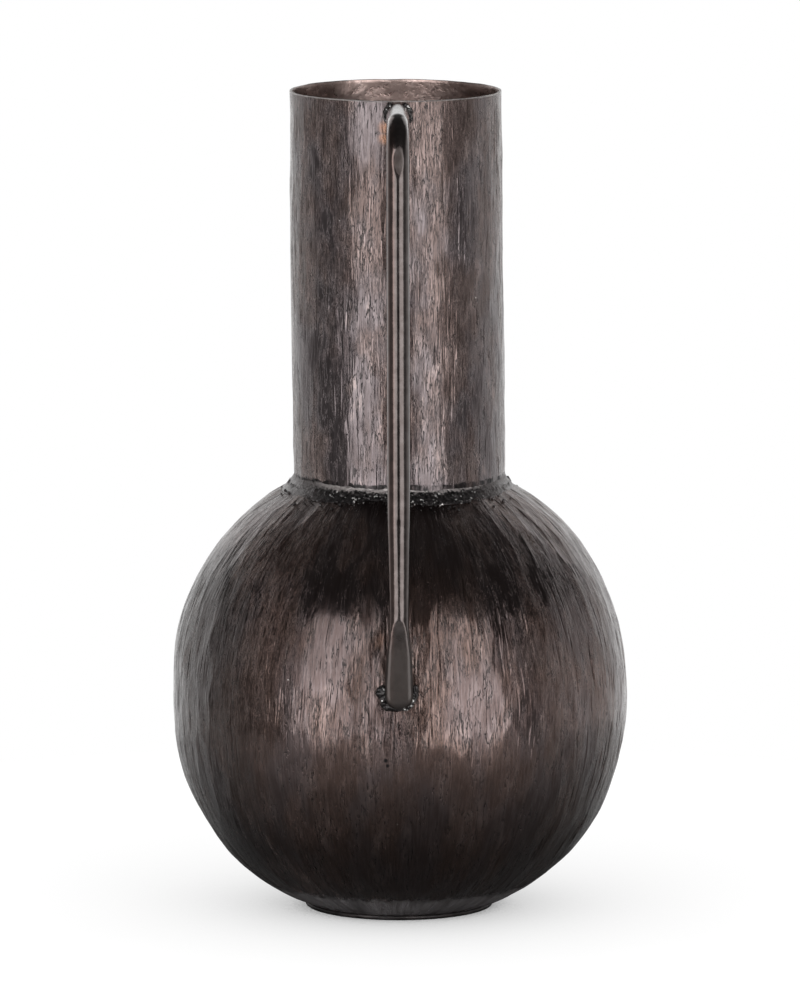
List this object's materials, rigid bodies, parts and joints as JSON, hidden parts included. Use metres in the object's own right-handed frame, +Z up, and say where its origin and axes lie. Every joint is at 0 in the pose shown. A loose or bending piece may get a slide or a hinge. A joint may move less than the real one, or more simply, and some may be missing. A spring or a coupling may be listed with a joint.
{
  "type": "urn vase",
  "caption": "Tall urn vase of textured dark metal: a round bowl, a straight open neck and slim rod handles from the rim to the belly.",
  "frame": {"origin": "centre of the base on the surface that the vase stands on", "axes": "+Z up along the vase's axis; both handles lie in the YZ plane, the one in the picture on the -Y side"},
  "size_m": [0.205, 0.219, 0.37],
  "materials": {
    "body_lacquer": "dark bronze-brown lacquer over steel sheet with fine upright hammered grooves, semi-gloss",
    "rod_lacquer": "smooth black-bronze lacquer on drawn rod, semi-gloss, with fine forging marks",
    "weld_lacquer": "black, coarse and glittering weld metal under lacquer"
  },
  "bodies": {
    "root": {"upper_bowl": "body_lacquer", "lower_bowl": "body_lacquer", "belly_seam_weld": "body_lacquer", "neck_tube": "body_lacquer", "neck_weld": "weld_lacquer", "base_disc": "body_lacquer", "base_weld": "weld_lacquer", "front_handle": "rod_lacquer", "front_handle_top_weld": "weld_lacquer", "front_handle_foot_weld": "weld_lacquer", "rear_handle": "rod_lacquer", "rear_handle_top_weld": "weld_lacquer", "rear_handle_foot_weld": "weld_lacquer"}
  },
  "joints": []
}
